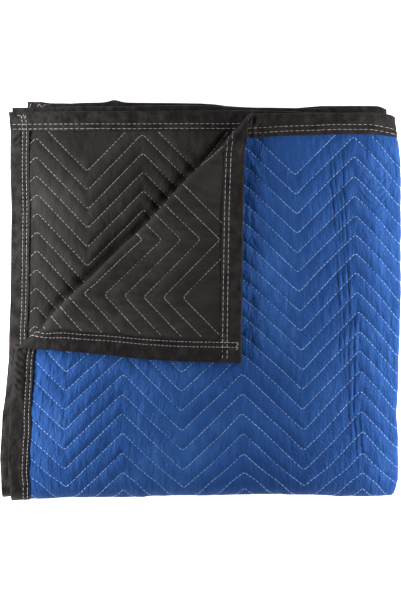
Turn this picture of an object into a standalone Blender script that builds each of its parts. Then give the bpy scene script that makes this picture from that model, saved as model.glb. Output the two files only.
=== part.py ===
"""Quilted moving blanket, blue face and black back, folded to a square pack of eight plies.

The blanket is first folded once across its width, face outside, with that fold on the right and both
side edges on the left. The double cloth is then folded in half twice along its length. Seen from above
the pack is: pass 1, pass 2, pass 3, pass 4, where passes 1 and 4 join round the outside at the front,
passes 2 and 3 join inside them, and passes 3 and 4 join at the rear. The corner of the top ply is
turned back diagonally over the top of the pack.

Every piece is built flat, in the blanket's own coordinates: u runs across the width, v along the
length, and w through the cloth, positive towards the face. Functions then fold it.
X is to the right, Y to the rear and Z up, with the origin under the middle of the pack.
"""

import math

import bmesh
import bpy
import numpy as np

# Cloth, in metres.
PLY_HALF = 0.0025  # half of one quilted ply, face to back
EDGE_HALF = 0.0011  # the same where a binding presses it
PANEL_GAP = 0.0004  # between face cloth and back cloth
PLY_PITCH = 0.0056  # from one ply to the next in the stack
PASS_PITCH = 2 * PLY_PITCH

# Binding tape, folded over the edge.
TAPE_THICK = 0.0010
TAPE_CLEAR = 0.0004
TAPE_COVER = 0.0267  # how far it covers the cloth
TAPE_RISE = 0.0125  # length over which the cloth thickens again beside it

# Pack. Right fold, front fold and rear fold are where the cloth turns.
FOLD_RADIUS = PLY_PITCH / 2  # right fold, middle of the ply
FRONT_RADIUS = 1.5 * PASS_PITCH  # passes 1 and 4, middle of the double cloth
INNER_RADIUS = 0.5 * PASS_PITCH  # passes 2 and 3, and passes 3 and 4
STACK_HALF = FOLD_RADIUS + PLY_HALF
LOW_PASS_Z = STACK_HALF
TOP_PASS_Z = LOW_PASS_Z + 3 * PASS_PITCH
MIDDLE_Z = (LOW_PASS_Z + TOP_PASS_Z) / 2

FRONT_CENTRE_Y = -0.2330  # axis of the front fold
INNER_CENTRE_Y = -0.2260  # axis of the fold inside it
REAR_CENTRE_Y = 0.2150  # axis of the rear fold
LEG = 0.4900  # flat width from a side edge to the right fold
PASS_1 = 0.4700  # flat lengths of the four passes
PASS_2 = 0.4700
PASS_3 = 0.4430
PASS_4 = 0.4470

# How unevenly it was folded. Each row is one line across the cloth, in order along its length: where the
# two side edges and the right fold lie, in metres from the middle of the pack.
LINES = {
    # name: (side_a, side_b, right)
    "end_1": (-0.2520, -0.2445, 0.2500),
    "front_fold": (-0.2430, -0.2510, 0.2500),
    "rear_fold": (-0.2400, -0.2400, 0.2460),
    "inner_fold": (-0.2538, -0.2480, 0.2400),
    "end_2": (-0.2190, -0.2415, 0.2400),
}
RIGHT_BULGE = 0.0050  # how far the right fold stands out in the middle of a pass
# Top ply's side edge: it swings out towards the turned corner. Rows run from the end to the front fold.
TOP_EDGE = (
    # (share of pass 1, X)
    (0.00, -0.2520),
    (0.17, -0.2490),
    (0.37, -0.2440),
    (0.57, -0.2400),
    (0.75, -0.2437),
    (0.90, -0.2450),
    (1.00, -0.2430),
)
# Where the two ends lie. Rows run from side edge A over the right fold to side edge B.
END_1_LINE = (
    # (share of the width, Y)
    (0.000, 0.2255),
    (0.190, 0.2275),
    (0.270, 0.2310),
    (0.310, 0.2385),
    (0.500, 0.2375),
    (0.690, 0.2435),
    (1.000, 0.2415),
)
END_2_LINE = (
    # (share of the width, Y)
    (0.000, 0.2530),
    (0.250, 0.2500),
    (0.500, 0.2465),
    (1.000, 0.2450),
)

# Turned corner: the top ply rolls over a line at 45 degrees and lies down again on the pack.
TURN_RADIUS = 0.0043
TURN_LINE = 0.1625  # Y - X along the line where the roll starts
TURN_REST = 0.0058  # height of the turned ply over the top ply
TURN_SETTLE = 0.0600  # length over which it settles

# The stack sinks towards the right fold.
RIGHT_SINK = 0.15
RIGHT_SINK_FROM = 0.2160
RIGHT_SINK_OVER = 0.0400

# Facets.
RIGHT_STEPS = 6
FRONT_STEPS = 8
INNER_STEPS = 4
TURN_STEPS = 6
SETTLE_STEPS = 5

RIGHT_ARC = math.pi * FOLD_RADIUS
FRONT_ARC = math.pi * FRONT_RADIUS
INNER_ARC = math.pi * INNER_RADIUS
WIDTH = 2 * LEG + RIGHT_ARC
# The cloth's length as it runs through the pack: what each run is, its flat length, and the lines of LINES
# at its two ends.
PASS_RUNS = (
    ("pass", PASS_1, ("end_1", "front_fold")),
    ("front", FRONT_ARC, ("front_fold", "front_fold")),
    ("pass", PASS_4, ("front_fold", "rear_fold")),
    ("rear", INNER_ARC, ("rear_fold", "rear_fold")),
    ("pass", PASS_3, ("rear_fold", "inner_fold")),
    ("inner", INNER_ARC, ("inner_fold", "inner_fold")),
    ("pass", PASS_2, ("inner_fold", "end_2")),
)
LENGTH = sum(run[1] for run in PASS_RUNS)
RUN_STARTS = np.cumsum([0.0] + [run[1] for run in PASS_RUNS])

BLUE = (0.028, 0.093, 0.37, 1.0)
BLACK = (0.026, 0.024, 0.023, 1.0)
TAPE_BLACK = (0.020, 0.019, 0.018, 1.0)


def smooth(share):
    """0 below 0, 1 above 1, and an even curve between."""
    share = min(max(share, 0.0), 1.0)
    return share * share * (3 - 2 * share)


def table(rows, share):
    """Value at a share along a table of (share, value) rows."""
    return float(np.interp(share, [row[0] for row in rows], [row[1] for row in rows]))


def run_at(v):
    """Which run of the cloth's length v is in, and its share of that run."""
    index = int(np.searchsorted(RUN_STARTS, v, side="right")) - 1
    index = min(max(index, 0), len(PASS_RUNS) - 1)
    return index, (v - RUN_STARTS[index]) / PASS_RUNS[index][1]


def line_at(v):
    """Side edge A, side edge B and right fold at v."""
    index, share = run_at(v)
    first, last = (np.array(LINES[name]) for name in PASS_RUNS[index][2])
    edges = first + (last - first) * share
    if index == 0:
        edges[0] = table(TOP_EDGE, share)
    if PASS_RUNS[index][0] == "pass":
        edges[2] += RIGHT_BULGE * math.sin(math.pi * share)
    return edges


def across(u, v, w):
    """X, and the offset from the middle of the double cloth, positive on side A."""
    side_a, side_b, right = line_at(v)
    turn_x = right - STACK_HALF
    offset = FOLD_RADIUS + w
    if u <= LEG:
        return side_a + (turn_x - side_a) * u / LEG, offset
    if u >= LEG + RIGHT_ARC:
        return side_b + (turn_x - side_b) * (WIDTH - u) / LEG, -offset
    angle = (u - LEG) / FOLD_RADIUS
    return turn_x + offset * math.sin(angle), offset * math.cos(angle)


def along(u, v, offset):
    """Y and Z of a point that lies this far from the middle of the double cloth."""
    index, share = run_at(v)
    if index == 0:
        end = table(END_1_LINE, u / WIDTH)
        return end + (FRONT_CENTRE_Y - end) * share, TOP_PASS_Z + offset
    if index == 1:
        angle = math.pi * share
        radius = FRONT_RADIUS + offset
        return FRONT_CENTRE_Y - radius * math.sin(angle), MIDDLE_Z + radius * math.cos(angle)
    if index == 2:
        return FRONT_CENTRE_Y + (REAR_CENTRE_Y - FRONT_CENTRE_Y) * share, LOW_PASS_Z - offset
    if index == 3:
        angle = math.pi * share
        radius = INNER_RADIUS + offset
        middle = LOW_PASS_Z + INNER_RADIUS
        return REAR_CENTRE_Y + radius * math.sin(angle), middle - radius * math.cos(angle)
    if index == 4:
        z = LOW_PASS_Z + PASS_PITCH + offset
        return REAR_CENTRE_Y + (INNER_CENTRE_Y - REAR_CENTRE_Y) * share, z
    if index == 5:
        angle = math.pi * share
        radius = INNER_RADIUS - offset
        return INNER_CENTRE_Y - radius * math.sin(angle), MIDDLE_Z - radius * math.cos(angle)
    end = table(END_2_LINE, u / WIDTH)
    z = LOW_PASS_Z + 2 * PASS_PITCH - offset
    return INNER_CENTRE_Y + (end - INNER_CENTRE_Y) * share, z


def past_turn(x, y):
    """How far a point of the top ply lies past the line where the corner rolls over."""
    return (y - x - TURN_LINE) / math.sqrt(2)


def turn_corner(x, y, z):
    """The top ply's corner, rolled over the turn line and settled on the pack."""
    past = past_turn(x, y)
    if past <= 0:
        return x, y, z
    middle = TOP_PASS_Z + FOLD_RADIUS
    rise = z - middle
    arc = math.pi * TURN_RADIUS
    if past < arc:
        angle = past / TURN_RADIUS
        reach = (TURN_RADIUS - rise) * math.sin(angle)
        z = middle + TURN_RADIUS - (TURN_RADIUS - rise) * math.cos(angle)
    else:
        reach = arc - past
        settled = smooth((past - arc) / TURN_SETTLE)
        z = middle + 2 * TURN_RADIUS - rise - (2 * TURN_RADIUS - TURN_REST) * settled
    shift = (reach - past) / math.sqrt(2)
    return x - shift, y + shift, z


def sink(x, z):
    """Z where the stack is less high near the right fold."""
    return z * (1 - RIGHT_SINK * smooth((x - RIGHT_SINK_FROM) / RIGHT_SINK_OVER))


def fold(u, v, w):
    """A point of the flat blanket, folded to double cloth and then to four passes."""
    x, offset = across(u, v, w)
    y, z = along(u, v, offset)
    return x, y, z


def cloth_half(u, v):
    """Half the thickness of a ply, which is less under a binding."""
    edge = min(u, WIDTH - u, v, LENGTH - v)
    return EDGE_HALF + (PLY_HALF - EDGE_HALF) * smooth((edge - TAPE_COVER) / TAPE_RISE)


def width_lines():
    """Lines across the width where the cloth gets a row of vertices."""
    edge = [0.0, TAPE_COVER, TAPE_COVER + TAPE_RISE]
    leg_a = edge + [WIDTH * share for share, _ in END_1_LINE[1:4]]
    leg_b = edge + [WIDTH * (1 - END_1_LINE[5][0])]
    sinking = [LEG - RIGHT_SINK_OVER * share for share in (1.0, 0.75, 0.5, 0.25)]
    turn = [LEG + RIGHT_ARC * step / RIGHT_STEPS for step in range(RIGHT_STEPS + 1)]
    return leg_a + sinking + turn + [WIDTH - u for u in reversed(leg_b + sinking)]


def length_lines():
    """Lines along the length where the cloth gets a row of vertices."""
    edge = [0.0, TAPE_COVER, TAPE_COVER + TAPE_RISE]
    passes = {
        0: edge + [PASS_1 * share for share, _ in TOP_EDGE[2:6]],
        2: [PASS_4 / 2],
        4: [PASS_3 / 2],
        6: [PASS_2 / 2] + [PASS_2 - v for v in reversed(edge)],
    }
    steps = {1: FRONT_STEPS, 3: INNER_STEPS, 5: INNER_STEPS}
    lines = []
    for index, (_, run, _) in enumerate(PASS_RUNS):
        start = RUN_STARTS[index]
        if index in steps:
            lines += [start + run * step / steps[index] for step in range(steps[index] + 1)]
        else:
            lines += [start + v for v in passes[index]]
    return lines


def material(name, colour, roughness):
    made = bpy.data.materials.new(name)
    made.use_nodes = True
    shader = made.node_tree.nodes["Principled BSDF"]
    shader.inputs["Base Color"].default_value = colour
    shader.inputs["Roughness"].default_value = roughness
    shader.inputs["Metallic"].default_value = 0.0
    made.diffuse_color = colour
    return made


def prism_faces(rows, columns):
    """Faces of a closed tube: rings of this many columns, joined row to row, with a cap at each end."""
    faces = []
    for row in range(rows - 1):
        for column in range(columns):
            after = (column + 1) % columns
            faces.append(
                (
                    row * columns + column,
                    row * columns + after,
                    (row + 1) * columns + after,
                    (row + 1) * columns + column,
                )
            )
    return faces


def folded_object(name, flat, faces, look):
    """Folds a flat solid, scores and turns back its corner, and makes the object."""
    folded = [fold(*point) for point in flat]
    mesh = bmesh.new()
    top_ply = mesh.verts.layers.int.new("top_ply")
    verts = [mesh.verts.new(point) for point in folded]
    for vert, (u, v, _) in zip(verts, flat):
        vert[top_ply] = int(u <= LEG and v <= PASS_1)
    for face in faces:
        mesh.faces.new([verts[index] for index in face])
    score_turn(mesh, top_ply)
    for vert in mesh.verts:
        point = tuple(vert.co)
        if vert[top_ply]:
            point = turn_corner(*point)
        vert.co = (point[0], point[1], sink(point[0], point[2]))
    bmesh.ops.recalc_face_normals(mesh, faces=mesh.faces)
    data = bpy.data.meshes.new(name)
    mesh.to_mesh(data)
    mesh.free()
    data.materials.append(look)
    made = bpy.data.objects.new(name, data)
    bpy.context.scene.collection.objects.link(made)
    data.shade_smooth()
    data.set_sharp_from_angle(angle=math.radians(40))
    return made


def score_turn(mesh, top_ply):
    """Cuts the top ply along the lines where its corner rolls over, so that it can bend there."""
    arc = math.pi * TURN_RADIUS
    scores = [arc * step / TURN_STEPS for step in range(TURN_STEPS + 1)]
    scores += [arc + TURN_SETTLE * (step + 1) / SETTLE_STEPS for step in range(SETTLE_STEPS)]
    for past in scores:
        level = TURN_LINE + past * math.sqrt(2)
        faces = [face for face in mesh.faces if all(vert[top_ply] for vert in face.verts)]
        region = set(faces)
        for face in faces:
            region.update(face.edges)
            region.update(face.verts)
        before = set(mesh.verts)
        bmesh.ops.bisect_plane(
            mesh,
            geom=list(region),
            dist=1e-7,
            plane_co=(-level / 2, level / 2, 0),
            plane_no=(-1, 1, 0),
        )
        for vert in mesh.verts:
            if vert not in before:
                vert[top_ply] = 1


def panel(name, outer, look):
    """Face cloth (outer is 1) or back cloth (outer is -1): one sheet over the whole blanket."""
    lines_u, lines_v = width_lines(), length_lines()
    across_count, along_count = len(lines_u), len(lines_v)
    flat = []
    for v in lines_v:
        for u in lines_u:
            flat.append((u, v, outer * cloth_half(u, v)))
    for v in lines_v:
        for u in lines_u:
            flat.append((u, v, outer * PANEL_GAP / 2))
    count = across_count * along_count
    faces = []
    for row in range(along_count - 1):
        for column in range(across_count - 1):
            corner = row * across_count + column
            quad = (corner, corner + 1, corner + 1 + across_count, corner + across_count)
            faces.append(quad)
            faces.append(tuple(index + count for index in reversed(quad)))
    rim = list(range(across_count))
    rim += [row * across_count + across_count - 1 for row in range(1, along_count)]
    rim += [(along_count - 1) * across_count + column for column in range(across_count - 2, -1, -1)]
    rim += [row * across_count for row in range(along_count - 2, 0, -1)]
    for index, vert in enumerate(rim):
        after = rim[(index + 1) % len(rim)]
        faces.append((vert, vert + count, after + count, after))
    return folded_object(name, flat, faces, look)


def tape_section():
    """Tape folded over an edge: distances in from the cloth's edge, and offsets through the cloth."""
    inner = EDGE_HALF + TAPE_CLEAR
    outer = inner + TAPE_THICK
    back = -TAPE_CLEAR - TAPE_THICK
    return (
        (TAPE_COVER, outer),
        (back, outer),
        (back, -outer),
        (TAPE_COVER, -outer),
        (TAPE_COVER, -inner),
        (-TAPE_CLEAR, -inner),
        (-TAPE_CLEAR, inner),
        (TAPE_COVER, inner),
    )


def binding(name, lines, place, look):
    """A folded tape that runs through these lines; place turns (line, distance in, offset) to flat."""
    section = tape_section()
    flat = [place(line, inwards, w) for line in lines for inwards, w in section]
    columns = len(section)
    faces = prism_faces(len(lines), columns)
    # The C-shaped caps are quads of their own: one side, the back, the other side.
    for start in (0, (len(lines) - 1) * columns):
        for quad in ((0, 1, 6, 7), (1, 2, 5, 6), (2, 3, 4, 5)):
            faces.append(tuple(start + corner for corner in quad))
    return folded_object(name, flat, faces, look)


def main():
    for old in list(bpy.data.objects):
        bpy.data.objects.remove(old, do_unlink=True)
    blue = material("blue face cloth", BLUE, 0.95)
    black = material("black back cloth", BLACK, 0.95)
    tape = material("black binding tape", TAPE_BLACK, 0.9)
    panel("face_panel", 1, blue)
    panel("back_panel", -1, black)
    inside = TAPE_COVER + TAPE_CLEAR
    side_lines = [v for v in length_lines() if inside < v < LENGTH - inside]
    side_lines = [inside] + side_lines + [LENGTH - inside]
    over = TAPE_CLEAR + TAPE_THICK
    end_lines = [-over] + width_lines()[1:-1] + [WIDTH + over]
    binding("side_binding_a", side_lines, lambda v, inwards, w: (inwards, v, w), tape)
    binding("side_binding_b", side_lines, lambda v, inwards, w: (WIDTH - inwards, v, w), tape)
    binding("end_binding_1", end_lines, lambda u, inwards, w: (u, inwards, w), tape)
    binding("end_binding_2", end_lines, lambda u, inwards, w: (u, LENGTH - inwards, w), tape)


main()
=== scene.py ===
"""Looks of the folded moving blanket: quilted cloth, bindings and thread on the folds of its solids."""
import math

import bpy
import numpy as np
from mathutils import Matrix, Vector


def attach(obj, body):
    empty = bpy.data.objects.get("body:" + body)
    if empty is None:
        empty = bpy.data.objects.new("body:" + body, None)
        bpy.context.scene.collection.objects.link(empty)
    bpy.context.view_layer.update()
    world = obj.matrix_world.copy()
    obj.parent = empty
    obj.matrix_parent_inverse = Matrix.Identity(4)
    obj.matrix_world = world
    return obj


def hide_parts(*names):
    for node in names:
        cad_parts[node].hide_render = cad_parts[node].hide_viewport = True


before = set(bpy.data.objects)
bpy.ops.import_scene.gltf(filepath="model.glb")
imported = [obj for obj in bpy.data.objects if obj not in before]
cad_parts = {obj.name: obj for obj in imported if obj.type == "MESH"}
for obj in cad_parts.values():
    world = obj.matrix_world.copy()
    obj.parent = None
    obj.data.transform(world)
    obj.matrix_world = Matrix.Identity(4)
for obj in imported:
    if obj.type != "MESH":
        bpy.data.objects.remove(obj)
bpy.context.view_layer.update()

# The blanket's sizes, in metres, as its solids have them. u runs across the width, v along the length,
# and w through the cloth, positive towards the blue face.
PLY_HALF = 0.0025
EDGE_HALF = 0.0011  # half of the ply's thickness under the tapes
PLY_PITCH = 0.0056
PASS_PITCH = 2 * PLY_PITCH  # a pass is two plies
FOLD_RADIUS = PLY_PITCH / 2
FRONT_RADIUS = 1.5 * PASS_PITCH
INNER_RADIUS = 0.5 * PASS_PITCH
STACK_HALF = FOLD_RADIUS + PLY_HALF
LOW_PASS_Z = STACK_HALF
TOP_PASS_Z = LOW_PASS_Z + 3 * PASS_PITCH
MIDDLE_Z = (LOW_PASS_Z + TOP_PASS_Z) / 2
INNER_CENTRE_Y = -0.226
REAR_CENTRE_Y = 0.215
LEG = 0.49  # from each side edge to the right fold
PASS_1 = 0.47  # lengths of the passes, counted from the top of the pack down
PASS_2 = 0.47
PASS_3 = 0.443
PASS_4 = 0.447
RIGHT_ARC = math.pi * FOLD_RADIUS
FRONT_ARC = math.pi * FRONT_RADIUS
INNER_ARC = math.pi * INNER_RADIUS
WIDTH = 2 * LEG + RIGHT_ARC
RIGHT_MIDDLE = WIDTH / 2  # u of the middle of the right fold
RUNS = np.array([PASS_1, FRONT_ARC, PASS_4, INNER_ARC, PASS_3, INNER_ARC, PASS_2])
STARTS = np.concatenate([[0.0], np.cumsum(RUNS)])
LENGTH = float(STARTS[-1])
FLOOR_GAP = 0.0002

# X of side edge A, side edge B and the right fold at both ends and at the folds between the passes.
LINES = (
    (-0.252, -0.2445, 0.25),  # end 1
    (-0.2425, -0.2548, 0.2545),  # front fold
    (-0.24, -0.24, 0.246),  # rear fold
    (-0.256, -0.25, 0.24),  # inner fold
    (-0.2216, -0.2415, 0.24),  # end 2
)
# A start and a length say where something sets in and over what distance, and a height and a reach give
# the size of a ridge.
SWING = (0.4, 0.55)  # start and length, in shares of a lower pass, of its edges' swing between two folds
RIGHT_BULGE = 0.004
RIGHT_BACK = 0.0033  # the lowest ply's right fold lies further in
RIGHT_BACK_EASE = (0.06, 0.2)  # the shares of its pass over which that sets in, front and rear
SIDE_WAVER = (0.0008, 0.045)  # height and length of the edges' small unevenness
RIGHT_WAVER = (0.001, 0.035)
END_1_WAVER = (0.0005, 0.04)
END_2_WAVER = (0.0008, 0.05)
RIGHT_EDGE = (
    # (share of pass 1, X of the right fold)
    (0.0, 0.251), (0.03, 0.2518), (0.09, 0.255), (0.14, 0.257), (0.2, 0.2572), (0.45, 0.2573),
    (0.52, 0.2578), (0.6, 0.2562), (0.66, 0.2543), (0.74, 0.2539), (0.8, 0.2527), (0.83, 0.2525),
    (0.87, 0.2543), (0.93, 0.2544), (0.97, 0.255), (1.0, 0.2542),
)
TOP_EDGE = (
    # (share of pass 1, X of side edge A)
    (0.0, -0.2483), (0.13, -0.2475), (0.27, -0.2439), (0.4, -0.2388), (0.49, -0.2348), (0.555, -0.2334),
    (0.605, -0.235), (0.65, -0.2388), (0.73, -0.241), (0.82, -0.244), (0.9, -0.2447), (0.97, -0.2447),
    (1.0, -0.2425),
)
SECOND_EDGE = (
    # (share of pass 1, X of side edge B)
    (0.0, -0.2461), (0.05, -0.2436), (0.15, -0.2438), (0.21, -0.243), (0.26, -0.2423), (0.33, -0.2427),
    (0.5, -0.243), (0.54, -0.244), (0.6, -0.2452), (0.664, -0.2452), (0.7, -0.2443), (0.815, -0.2533),
    (0.93, -0.2566), (1.0, -0.2548),
)
END_1_LINE = (
    # (share of the width, Y)
    (0.0, 0.2212), (0.093, 0.2223), (0.19, 0.2238), (0.268, 0.2274), (0.31, 0.2387), (0.4, 0.2388),
    (0.44, 0.2397), (0.5, 0.2405), (0.56, 0.239), (0.69, 0.2435), (1.0, 0.2415),
)
END_2_LINE = (
    # (share of the width, Y)
    (0.0, 0.2556), (0.018, 0.2552), (0.03, 0.2532), (0.06, 0.2526), (0.08, 0.2537), (0.125, 0.2542),
    (0.18, 0.2536), (0.24, 0.2531), (0.262, 0.2519), (0.278, 0.25), (0.325, 0.2478), (0.35, 0.247),
    (0.375, 0.2468), (0.395, 0.2484), (0.41, 0.2496), (0.5, 0.25), (0.56, 0.2484), (0.6, 0.2462),
    (0.65, 0.247), (0.7, 0.2474), (0.74, 0.25), (1.0, 0.248),
)

FRONT_LINE = (
    # (distance in from the side edges, Y of the front fold's axis)
    (0.0, -0.2363), (0.012, -0.2362), (0.02, -0.2354), (0.037, -0.2341), (0.052, -0.2334),
    (0.07, -0.2321), (0.1, -0.2318), (0.13, -0.2319), (0.175, -0.231), (0.2, -0.2298), (0.27, -0.2292),
    (0.3, -0.2284), (0.345, -0.2281), (0.39, -0.2291), (0.415, -0.2304), (0.45, -0.231), (0.475, -0.2306),
    (0.495, -0.2296),
)
FRONT_ROUNDING = 0.008
FRONT_DRAW = 0.004  # the front fold is narrower where the right fold turns
FRONT_DRAW_FROM = (0.45, 0.04)  # start and length, in from the side edges
END_1_DIP = (0.0025, 0.018)  # height and reach of the ends' dips where they pass over the right fold
END_1_ROUND = (0.0034, 0.0042)
END_1_ROUND_OVER = 0.06
END_2_DIP = (0.0034, 0.006)
END_2_HUMP_AT = 0.119
END_2_HUMP = (0.003, 0.01)

# The corner of the top ply, turned back along the line y - x = TURN_LINE.
TURN_RADIUS = 0.0043
TURN_LINE = 0.1605
TURN_REST = 0.0058  # how high the turned ply comes to lie, TURN_SETTLE past the roll
TURN_SETTLE = 0.06
TURN_BOW = 0.0035
TURN_REACH = 0.3  # from the roll's middle to its ends, in x + y
TURN_EDGE = (
    # (x + y along the roll, how far the roll bulges out there, measured along y)
    (-0.33, 0.0045), (-0.303, 0.0036), (-0.268, 0.001), (-0.255, 0.0), (-0.24, -0.0036), (-0.215, 0.0006),
    (-0.19, 0.0024), (-0.165, 0.0034), (-0.114, 0.0), (-0.016, 0.0), (0.028, -0.0027), (0.069, 0.0),
    (0.105, 0.0022), (0.136, 0.0034), (0.163, 0.0044), (0.19, 0.0002), (0.227, -0.0002), (0.255, 0.002),
    (0.293, 0.004),
)
TURN_EDGE_REACH = 0.03
TURN_EDGE_ROUNDING = 0.006

# Height of the stack. A sink is how much lower it is, as a share, and where that starts and its length.
RIGHT_SINK = (0.15, 0.216, 0.04)
END_SINK = (0.06, 0.195, 0.06)
FRONT_SINK = (0.1, 0.205, 0.045)
FRONT_SINK_ALONG = (-0.26, 0.1)
LEFT_SINK = (0.2, 0.165, 0.085)
LEFT_SINK_ALONG = (-0.2, 0.15)
TRENCH_AT = 0.0085  # the second ply sinks beside the roll
TRENCH_DEPTH = 0.14
TRENCH_HALF = 0.008
TRENCH_SPREAD = 0.045  # the same for the plies below
ROLL_LEFT_X = -0.22  # the trench eases out over TRENCH_EASE before the roll's ends
ROLL_REAR_Y = 0.236
TRENCH_EASE = 0.03
ROLL_PUFF = (0.045, 0.012)
ROLL_PUFF_AT = -0.003
UNEVEN = (
    # (share of the height, size, place in the noise)
    (0.03, 0.075, 9, 9),
    (0.016, 0.034, 21, 3),
)
HUMPS = (
    # ((x, y) of the middle, reach, share of the height)
    ((-0.15, 0.09), (0.05, 0.11), 0.055),
    ((-0.07, 0.19), (0.07, 0.04), -0.05),
    ((-0.1, 0.08), (0.03, 0.03), -0.035),
    ((-0.15, -0.14), (0.04, 0.06), 0.05),
    ((0.215, 0.06), (0.025, 0.12), 0.03),
)

# Quilting: zigzag rows of stitches, counted from end 1. Row 12 turns at these places.
TURNS = (
    # (u, v of row 12)
    (-0.064, 0.4014), (-0.0047, 0.328), (0.0682, 0.4014), (0.1415, 0.3293), (0.2175, 0.4051),
    (0.295, 0.3331), (0.3716, 0.4064), (0.4451, 0.3314), (0.509, 0.4), (0.5699, 0.325), (0.632, 0.39),
    (0.6946, 0.32), (0.753, 0.3886), (0.8209, 0.3173), (0.892, 0.3893), (0.9567, 0.3205), (1.024, 0.39),
)
ROWS = (
    # (number of the row, its distance from row 12 on side A, and on side B)
    (-50.0, -1.5572, -1.4942),
    (11.0, -0.0261, -0.0241),
    (17.0, 0.1305, 0.1205),
    (18.0, 0.1553, 0.1446),
    (110.0, 2.4645, 2.3618),
)
FIRST_ROW = -1
DRIFT = (
    # (u, how far the turns shift across for each metre along, from v = 0.4)
    (0.0, 0.034), (0.075, 0.034), (0.15, 0.033), (0.37, -0.024), (0.49, -0.02), (0.6, 0.0), (WIDTH, 0.0),
)
SHIFT_FADE = (0.495, 0.03)  # start and length along u of where SHIFTS ends
SHIFT_PLACES = (0.2175, 0.295, 0.3716, 0.4451)
SHIFTS = (
    # (v, how far the turns shift across at each of SHIFT_PLACES)
    (0.03, 0.0, -0.004, 0.0004, 0.0014),
    (0.055, 0.0, -0.0048, -0.002, -0.001),
    (0.08, 0.0, -0.005, -0.0031, -0.0024),
    (0.13, 0.0, -0.005, -0.0025, -0.0025),
    (0.18, 0.0, -0.0064, -0.0044, -0.0036),
    (0.205, 0.0, -0.0072, -0.0054, -0.0042),
    (0.235, -0.0006, -0.0068, -0.0042, -0.0028),
    (0.26, -0.001, -0.0064, -0.0034, -0.0021),
    (0.29, -0.0018, -0.0048, -0.0013, 0.0),
    (0.325, -0.0025, -0.0016, 0.0016, 0.0018),
    (0.36, -0.0008, 0.0006, 0.0016, 0.0029),
    (0.39, 0.0015, 0.0018, 0.0035, 0.0051),
    (0.43, 0.0032, 0.0026, 0.0021, 0.0035),
    (0.47, 0.0045, 0.003, 0.0009, 0.0026),
)
STRETCHED_TURNS = (
    # (u of a turn, how much further along it lies in the part before the front fold)
    (0.0682, 0.0006), (0.1415, -0.0019), (0.2175, 0.0008), (0.295, -0.0006), (0.3716, 0.0013),
    (0.4451, -0.001), (0.509, 0.0),
)
LAST_TURN = ((0.3716, 0.0), (0.4451, -0.0024), (0.509, 0.0))  # the same from LAST_TURN_FROM up to that part
LAST_TURN_FROM = (0.15, 0.05)
BEFORE_FOLD = (0.34, 0.06)  # start and length along v of that part, and of its end
FOLD_FADE = (0.49, 0.05)
FOLD_BEND = (
    # (v, how much further along the rows run where they pass over the right fold)
    (0.0, 0.0028), (0.1, 0.0014), (0.2, 0.0004), (0.25, 0.0042), (0.38, 0.0042), (0.43, 0.0),
)
FOLD_BEND_AT = 0.5
FOLD_BEND_REACH = 0.02
CORNER_SHIFT = 0.0009  # rows of the turned corner lie further from end 1, and more so along v
CORNER_SPREAD = 0.03
CORNER_FADE_V = (0.2, 0.09)  # start and length
CORNER_FADE_U = (0.22, 0.08)
SECOND_SPREAD = 0.0135  # how much nearer to end 1 the rows near side edge B lie, for each metre of v
SECOND_SPREAD_V = (0.09, 0.25)  # counted from the first v, up to the second
SECOND_SPREAD_U = (0.9, 0.05)  # start and length
LOW_ROWS = (0.448, 0.034)  # start and length along v of the last rows before the front fold
LOW_ROWS_LIFT = (0.0018, 0.0037)  # how much nearer to end 1 they lie, all along and more past LOW_ROWS_U
LOW_ROWS_U = (0.2, 0.1)
LAST_ROWS = (0.466, 0.012)
LAST_ROWS_LIFT = 0.0025
ROW_DENTS = (
    # ((u, v) of the middle, reach, how much nearer to end 1 the rows lie there)
    ((0.15, 0.33), (0.05, 0.05), 0.0014),
    ((0.44, 0.4), (0.03, 0.045), 0.0026),
)
DRIFT_FROM_V = 0.4
TURN_ROUNDING = 0.0016
SIDE_CHANGE = (0.45, 0.15)  # start and length along u of the change from side A to side B in ROWS
LAST_ROW = 90
ROW_STEP = 0.0005
GROOVE_HALF = 0.0009
CREST = 0.0003
QUILT_ROUNDNESS = 2.2

# Creases and unevenness of the cloth.
CREASES = (
    # (u at v = CREASE_V[0], u at v = CREASE_V[1], where it starts and stops along v, depth)
    (0.4078, 0.424, 0.015, 0.33, 0.0013),
    (0.4125, 0.43, 0.03, 0.34, 0.0012),
    (0.418, 0.4285, 0.08, 0.26, 0.0009),
    (0.4232, 0.434, 0.03, 0.44, 0.0014),
    (0.429, 0.4408, 0.24, 0.46, 0.0012),
    (0.437, 0.4476, 0.36, 0.46, 0.001),
)
CREASE_V = (0.1, 0.42)
CREASE_HALF = 0.0011
CREASE_LIP = (0.8, 0.0019)  # height, as a share of the depth, and reach
CREASE_LIP_AT = 0.0026
CREASE_FADE = 0.03
CREASE_WANDER = (0.0008, 0.03)  # height and length
SIDE_CREASE = (0.0006, 0.0014)
SIDE_CREASE_U = 0.0555
SIDE_CREASE_V = (0.35, 0.46)
SIDE_CREASE_WANDER = (0.0015, 0.06)
RIPPLES = ((0.462, 0.105), (0.02, 0.034), 0.0013)  # (u, v) of the middle, reach and height
RIPPLE_LENGTH = 0.0085
RIPPLE_BOW = 45.0
CRUMPLED = (
    # ((u, v) of the middle, reach, slant of the wrinkles, height)
    ((0.045, 0.315), (0.035, 0.035), 0.4, 0.0011),
    ((0.31, 0.09), (0.042, 0.075), -0.6, 0.0014),
    ((0.35, 0.24), (0.08, 0.2), 0.0, 0.0006),
    ((0.1, 0.37), (0.06, 0.04), 0.1, 0.0007),
)
CRUMPLE_SIZE = (0.0052, 0.015)
CORNER_TAUT = (0.65, 0.014)  # how flat the quilting is pulled over a fold, and the reach of that
RIGHT_TAUT = (0.75, 0.016)
FRONT_TAUT = (0.65, 0.024)
TAUT_LEVEL = 0.85  # height of the pulled cloth, as a share of a puff
TAUT_RELIEF = 0.6
PRESSED = 0.0235  # how far in from its edges the tapes press the cloth. Past that it rises over TAPE_RISE
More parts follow.
